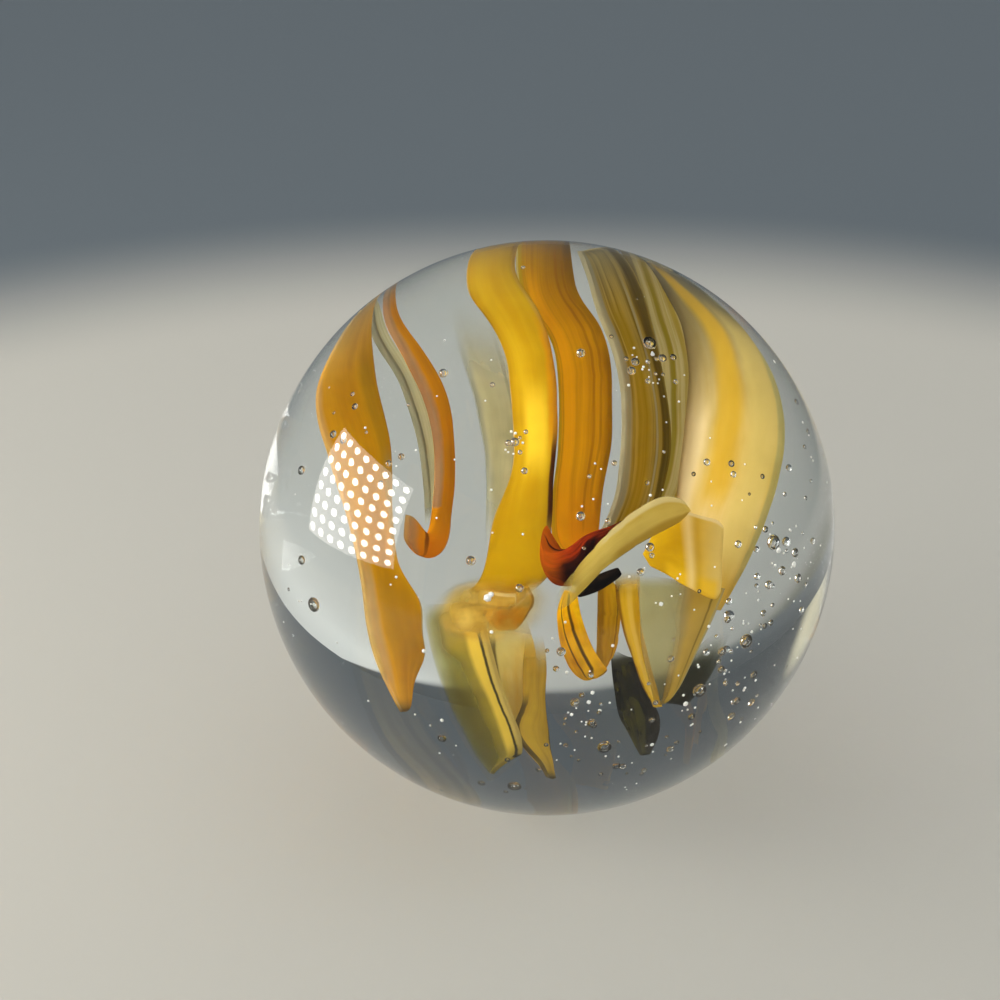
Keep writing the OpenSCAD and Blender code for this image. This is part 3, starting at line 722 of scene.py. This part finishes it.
def ball_tree():
    """The tree, with the identifiers of its named inputs."""
    tree = bpy.data.node_groups.new("ball with seed bubbles", "GeometryNodeTree")
    tree.interface.new_socket(name="Bubble places", in_out="INPUT", socket_type="NodeSocketGeometry")
    named = {}
    for name, kind in (("Ball radius", "NodeSocketFloat"), ("Ball fineness", "NodeSocketInt"),
                       ("Waviness", "NodeSocketFloat"), ("Wave scale", "NodeSocketFloat"),
                       ("Bubble fineness", "NodeSocketInt"), ("Glass", "NodeSocketMaterial")):
        named[name] = tree.interface.new_socket(name=name, in_out="INPUT", socket_type=kind).identifier
    tree.interface.new_socket(name="Glass ball", in_out="OUTPUT", socket_type="NodeSocketGeometry")
    start = add(tree, "NodeGroupInput")

    ball = add(tree, "GeometryNodeMeshIcoSphere", {
        "Radius": start.outputs["Ball radius"], "Subdivisions": start.outputs["Ball fineness"],
    }).outputs["Mesh"]
    wave = add(tree, "ShaderNodeTexNoise", {"Scale": start.outputs["Wave scale"], "Detail": 1.0}).outputs[0]
    depth = sums(tree, "MULTIPLY", sums(tree, "SUBTRACT", wave, WAVE_TOP), start.outputs["Waviness"])
    outward = add(tree, "GeometryNodeInputNormal").outputs["Normal"]
    shift = add(tree, "ShaderNodeVectorMath", {0: outward, "Scale": depth}, operation="SCALE").outputs[0]
    waved = add(tree, "GeometryNodeSetPosition", {"Geometry": ball, "Offset": shift}).outputs[0]

    shell = add(tree, "GeometryNodeMeshIcoSphere", {
        "Radius": 1.0, "Subdivisions": start.outputs["Bubble fineness"],
    }).outputs["Mesh"]
    inside_out = add(tree, "GeometryNodeFlipFaces", {"Mesh": shell}).outputs[0]
    size = add(tree, "GeometryNodeInputNamedAttribute", {"Name": "size"}, data_type="FLOAT")
    shells = add(tree, "GeometryNodeInstanceOnPoints", {
        "Points": start.outputs["Bubble places"], "Instance": inside_out, "Scale": size.outputs["Attribute"],
    }).outputs[0]

    both = add(tree, "GeometryNodeJoinGeometry")
    tree.links.new(waved, both.inputs[0])
    tree.links.new(shells, both.inputs[0])
    real = add(tree, "GeometryNodeRealizeInstances", {"Geometry": both.outputs[0]}).outputs[0]
    smooth = add(tree, "GeometryNodeSetShadeSmooth", {0: real, "Shade Smooth": True}).outputs[0]
    done = add(tree, "GeometryNodeSetMaterial", {"Geometry": smooth, "Material": start.outputs["Glass"]})
    add(tree, "NodeGroupOutput", {0: done.outputs[0]})
    return tree, named


glass_tree, glass_inputs = ball_tree()
print("tree inputs:", ", ".join(glass_inputs))

# %% [markdown]
# Clear glass bends light by its index of refraction, which is 1.5 for soda-lime glass. The surface has a
# fine bump of wear marks, so that its highlight isn't perfectly clean, and a faint cool cast.

# %% Clear glass
GLASS_INDEX = 1.5
WEAR_SCALE = 900.0
WEAR_DEPTH = 0.00002
WEAR_STRENGTH = 0.02
COOL_CAST = (0.945, 0.975, 0.985)
PALE_CAST = (0.965, 0.985, 0.99)
CAST_STEP = (0.35, 0.65)


def clear_glass_finish():
    """Polished clear glass with faint wear marks."""
    finish, tree = empty_finish("clear glass finish")
    place = add(tree, "ShaderNodeTexCoord").outputs["Object"]
    marks = add(tree, "ShaderNodeTexNoise", {"Vector": place, "Scale": WEAR_SCALE, "Detail": 5.0}).outputs[0]
    worn = add(tree, "ShaderNodeBump", {
        "Strength": WEAR_STRENGTH, "Distance": WEAR_DEPTH, "Height": marks,
    }).outputs[0]
    cast = blend_colour(tree, between(tree, marks, *CAST_STEP), COOL_CAST, PALE_CAST)
    glass = add(tree, "ShaderNodeBsdfPrincipled", {
        "Base Color": cast, "Roughness": 0.0, "IOR": GLASS_INDEX, "Transmission Weight": 1.0, "Normal": worn,
    }).outputs[0]
    add(tree, "ShaderNodeOutputMaterial", {"Surface": glass})
    return finish


clear_finish = clear_glass_finish()
print("made", clear_finish.name)

# %% [markdown]
# The tree needs a mesh to start from: one point at each bubble's centre, with the bubble's radius stored as
# its size. What the tree makes of it is kept as a plain mesh, which stands for the solid ball.

# %% Make the ball
centres = bpy.data.meshes.new("bubble centres")
centres.from_pydata([place for place, _ in bubbles], [], [])
sizes = centres.attributes.new("size", "FLOAT", "POINT")
sizes.data.foreach_set("value", [radius for _, radius in bubbles])
holder = put("ball holder", centres)
recipe = holder.modifiers.new("ball", "NODES")
recipe.node_group = glass_tree
ball_settings = {
    "Ball radius": BALL_R, "Ball fineness": 7, "Waviness": 0.000006, "Wave scale": 330.0,
    "Bubble fineness": 2, "Glass": clear_finish,
}
for name, value in ball_settings.items():
    recipe[glass_inputs[name]] = value
ball_mesh = bpy.data.meshes.new_from_object(holder.evaluated_get(bpy.context.evaluated_depsgraph_get()))
ball_mesh.name = "glass_ball"
bpy.data.objects.remove(holder)
glass_ball = put("glass_ball", ball_mesh)
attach(glass_ball, "root")
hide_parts("clear_glass")
print("the ball has", len(ball_mesh.polygons), "faces")

# %% [markdown]
# A clear ball shows its surroundings upside down, so they matter more here than for most objects. The
# floor is a painted pool of light: pale around the marble, with painted slate shade further off. Through the
# glass, that makes the pale upper part and the dark band below. The floor is a plain plane, and a mix by
# distance from the marble does the rest. A ball also gathers the light of the panel on the side away from it,
# which shows through the glass as a bright patch that runs on to the right, while the ground on the panel's
# own side stays dim. Both are painted, as a caustic and as shade, in colours for the rays that come through
# glass.

# %% Floor
FLOOR_REACH = 0.6
FLOOR_PALE = (0.49, 0.475, 0.42)
# Painted light and shade for rays through glass: a dark and a dim painted shade at the panel's side, and a
# painted caustic beyond the ball
PAINTED_DARK_SHADE = (0.12, 0.12, 0.09)
PAINTED_DIM_SHADE = (0.33, 0.335, 0.30)
PAINTED_CAUSTIC = (0.80, 0.81, 0.74)
DARK_TO = -0.026
DIM_FROM = -0.011
CAUSTIC_FROM = -0.012
CAUSTIC_TO = 0.024
# Painted slate shade, where the light falls off far from the marble
SLATE_SHADE = (0.125, 0.148, 0.163)
SLATE_SHADE_THROUGH = (0.080, 0.096, 0.102)
PALE_TO = 0.036
SHADE_FROM = 0.050
OPEN_FROM = 0.003
OPEN_SLOPE = 1.7


def floor_finish():
    """Painted pool of light and far slate shade, with a painted caustic and shade for rays through glass."""
    finish = bpy.data.materials.new("floor finish")
    finish.use_nodes = True
    tree = finish.node_tree
    shader = tree.nodes["Principled BSDF"]
    place = add(tree, "ShaderNodeTexCoord").outputs["Object"]
    way = measure(tree, "LENGTH", place)
    sideways = add(tree, "ShaderNodeSeparateXYZ", {0: place}).outputs["X"]
    # Painted caustic, brighter to the right, over painted shade to the left
    caustic_share = between(tree, sideways, CAUSTIC_FROM, CAUSTIC_TO)
    caustic_and_shade = blend_colour(tree, caustic_share, PAINTED_DIM_SHADE, PAINTED_CAUSTIC)
    caustic_and_shade = blend_colour(tree, between(tree, sideways, DARK_TO, DIM_FROM), PAINTED_DARK_SHADE, caustic_and_shade)
    in_glass = add(tree, "ShaderNodeLightPath").outputs["Is Transmission Ray"]
    pale = blend_colour(tree, in_glass, FLOOR_PALE, caustic_and_shade)
    # The painted caustic lets the pale pool of light reach further to the right through glass
    beyond = sums(tree, "MAXIMUM", sums(tree, "SUBTRACT", sideways, OPEN_FROM), 0.0)
    caustic_reach = sums(tree, "MULTIPLY", sums(tree, "MULTIPLY", beyond, OPEN_SLOPE), in_glass)
    way = sums(tree, "SUBTRACT", way, caustic_reach)
    # Painted far shade: slate beyond the pool of light
    far_shade = blend_colour(tree, in_glass, SLATE_SHADE, SLATE_SHADE_THROUGH)
    colour = blend_colour(tree, between(tree, way, PALE_TO, SHADE_FROM), pale, far_shade)
    tree.links.new(colour, shader.inputs["Base Color"])
    shader.inputs["Roughness"].default_value = 0.9
    shader.inputs["Specular IOR Level"].default_value = 0.1
    return finish


floor_mesh = bpy.data.meshes.new("floor")
floor_corners = [(x * FLOOR_REACH, y * FLOOR_REACH, 0) for x, y in ((-1, -1), (1, -1), (1, 1), (-1, 1))]
floor_mesh.from_pydata(floor_corners, [], [(0, 1, 2, 3)])
floor_mesh.materials.append(floor_finish())
floor = put("floor", floor_mesh)
floor.location.z = -BALL_R
print("floor at", round(-BALL_R * 1000, 2), "mm")

# %% [markdown]
# The light is a soft dome, brighter at the upper left. A dome that lights the sheets well would also show in
# the glass as a white sky, so the world has two faces: what the eye sees, straight or through the glass, is
# slate, and what lights a surface is the pale dome. The Light Path node tells them apart by whether the ray
# has left a dull surface yet. A ball of glass also turns back much of the light that would reach its inside,
# so light that enters through glass is raised until the sheets show about the colours that are written for
# them. Low at the left, behind the marble, the sky that the glass shows has one bright spot: it gives the
# streak at the rim.

# %% World
DOME = 0.71
DOME_IN_GLASS = 1.4
DOME_COLOUR = (0.97, 0.985, 1.0, 1.0)
KEY_WAY = Vector((-0.62, -0.28, 0.73)).normalized()
KEY_SHARE = 0.6
SKY_SEEN = 0.84
SKY_THROUGH = 0.56
SKY_THROUGH_TILT = 0.20
RIM_GLOW_WAY = Vector((-0.876, 0.466, 0.122)).normalized()
RIM_GLOW_FROM = math.cos(math.radians(13))
RIM_GLOW_FULL = math.cos(math.radians(4))
RIM_GLOW = 0.8
RIM_GLOW_COLOUR = (1.0, 0.90, 0.58, 1.0)

# A depth that counts bounces is above this once there was one
ONCE = 0.5

world = bpy.data.worlds.new("dome")
bpy.context.scene.world = world
world.use_nodes = True
world.cycles.sampling_method = "NONE"
sky = world.node_tree
sky.nodes.clear()
path = add(sky, "ShaderNodeLightPath").outputs
through = path["Is Transmission Ray"]
way = add(sky, "ShaderNodeTexCoord").outputs["Generated"]

# What lights a surface
facing = measure(sky, "DOT_PRODUCT", way, KEY_WAY)
towards_key = sums(sky, "ADD", sums(sky, "MULTIPLY", facing, KEY_SHARE), 1.0)
dome = sums(sky, "MULTIPLY", either(sky, through, DOME, DOME_IN_GLASS), towards_key)
dome_sky = add(sky, "ShaderNodeBackground", {"Color": DOME_COLOUR, "Strength": dome}).outputs[0]

# What the eye sees
to_right = add(sky, "ShaderNodeSeparateXYZ", {0: way}).outputs["X"]
band = sums(sky, "ADD", sums(sky, "MULTIPLY", to_right, SKY_THROUGH_TILT), SKY_THROUGH)
seen = either(sky, through, SKY_SEEN, band)
# The sky that the eye sees takes the slate of the floor's painted far shade
seen_sky = add(sky, "ShaderNodeBackground", {"Color": (*SLATE_SHADE, 1.0), "Strength": seen}).outputs[0]
near_glow = between(sky, measure(sky, "DOT_PRODUCT", way, RIM_GLOW_WAY), RIM_GLOW_FROM, RIM_GLOW_FULL)
rim_glow = sums(sky, "MULTIPLY", sums(sky, "MULTIPLY", near_glow, RIM_GLOW), through)
rim_sky = add(sky, "ShaderNodeBackground", {"Color": RIM_GLOW_COLOUR, "Strength": rim_glow}).outputs[0]
seen_sky = add(sky, "ShaderNodeAddShader", {0: seen_sky, 1: rim_sky}).outputs[0]

lit = sums(sky, "GREATER_THAN", path["Diffuse Depth"], ONCE)
both_skies = add(sky, "ShaderNodeMixShader", {0: lit, 1: seen_sky, 2: dome_sky}).outputs[0]
add(sky, "ShaderNodeOutputWorld", {"Surface": both_skies})
print("dome:", DOME, "and through glass:", DOME_IN_GLASS)

# %% [markdown]
# One square soft panel stands at the left, low enough to be mirrored in the glass. It shows where the glass
# or a bubble mirrors it, as a square of bright dots, and stays dim where the eye looks at it through the
# glass. Like the dome, it is raised for light that enters through glass.

# %% Soft panel
PANEL_GLOW = 6.0
PANEL_IN_GLASS = 14.0
PANEL_MIRRORED = 4.2
PANEL_THROUGH = 0.13
PANEL_DOTS = 34.0
PANEL_COLOUR = (1.0, 0.96, 0.90, 1.0)
SPARKLE = 3.0
DOT_ROWS = 8.0
DOT_MIDDLE = (0.5, 0.5, 0.0)
DOT_RIM = 0.33
DOT_CORE = 0.16
PANEL_WAY = Vector((-0.967, -0.149, 0.207)).normalized()
PANEL_FAR = 0.07
PANEL_WIDE = 0.415
PANEL_TALL = 0.265
PANEL_ROLL = math.radians(8.3)

panel_glow, lamp = empty_finish("panel glow")
panel_glow.cycles.emission_sampling = "NONE"
path = add(lamp, "ShaderNodeLightPath").outputs
spot = add(lamp, "ShaderNodeUVMap", uv_map="panel").outputs[0]
cell = add(lamp, "ShaderNodeVectorMath", {0: spot, "Scale": DOT_ROWS}, operation="SCALE").outputs[0]
cell = add(lamp, "ShaderNodeVectorMath", {0: cell}, operation="FRACTION").outputs[0]
off_dot = measure(lamp, "DISTANCE", cell, DOT_MIDDLE)
dots = sums(lamp, "MULTIPLY", between(lamp, off_dot, DOT_RIM, DOT_CORE), PANEL_DOTS)
in_glass = sums(lamp, "GREATER_THAN", path["Transmission Depth"], ONCE)
sparkle = either(lamp, in_glass, 1.0, SPARKLE)
mirrored = sums(lamp, "MULTIPLY", sums(lamp, "ADD", dots, PANEL_MIRRORED), sparkle)
by_mirror = sums(lamp, "GREATER_THAN", path["Glossy Depth"], ONCE)
seen_panel = either(lamp, by_mirror, PANEL_THROUGH, mirrored)
lighting = either(lamp, path["Is Transmission Ray"], PANEL_GLOW, PANEL_IN_GLASS)
lit = sums(lamp, "GREATER_THAN", path["Diffuse Depth"], ONCE)
strength = either(lamp, lit, seen_panel, lighting)
glow = add(lamp, "ShaderNodeEmission", {"Color": PANEL_COLOUR, "Strength": strength}).outputs[0]
add(lamp, "ShaderNodeOutputMaterial", {"Surface": glow})

sideways = Vector((0, 0, 1)).cross(PANEL_WAY).normalized()
upright = PANEL_WAY.cross(sideways)
wide = (sideways * math.cos(PANEL_ROLL) + upright * math.sin(PANEL_ROLL)) * PANEL_FAR * PANEL_WIDE
tall = (upright * math.cos(PANEL_ROLL) - sideways * math.sin(PANEL_ROLL)) * PANEL_FAR * PANEL_TALL
middle = PANEL_WAY * PANEL_FAR
panel_corners = [middle - wide - tall, middle + wide - tall, middle + wide + tall, middle - wide + tall]
panel_mesh = bpy.data.meshes.new("soft panel")
panel_mesh.from_pydata(panel_corners, [], [(0, 1, 2, 3)])
panel_mesh.materials.append(panel_glow)
dot_layer = panel_mesh.uv_layers.new(name="panel")
for corner, place in zip(dot_layer.uv, [(0, 0), (1, 0), (1, 1), (0, 1)]):
    corner.vector = place
panel = put("soft_panel", panel_mesh)
panel.visible_camera = False
print("panel at", [round(v, 3) for v in middle])

# %% [markdown]
# The camera looks down at the marble from 26 degrees, from about ten radii away, through a lens of 100 mm on
# a 36 mm frame. The marble sits a little right of and below the middle of the picture, which is a small
# shift.

# %% Camera
CAMERA_FAR = 0.0776
CAMERA_UP = math.radians(26)

camera_data = bpy.data.cameras.new("camera")
camera_data.lens = 100
camera_data.sensor_width = 36
camera_data.shift_x = -0.047
camera_data.shift_y = 0.028
camera_data.clip_start = 0.001
camera = put("camera", camera_data)
camera.location = (0, -CAMERA_FAR * math.cos(CAMERA_UP), CAMERA_FAR * math.sin(CAMERA_UP))
camera.rotation_euler = (math.pi / 2 - CAMERA_UP, 0, 0)
scene = bpy.context.scene
scene.camera = camera
scene.view_settings.view_transform = "Standard"
scene.cycles.transparent_max_bounces = 32
print("camera at", [round(v, 4) for v in camera.location])

# %% [markdown]
# Last, the view layer is updated.

# %% Finish
bpy.context.view_layer.update()
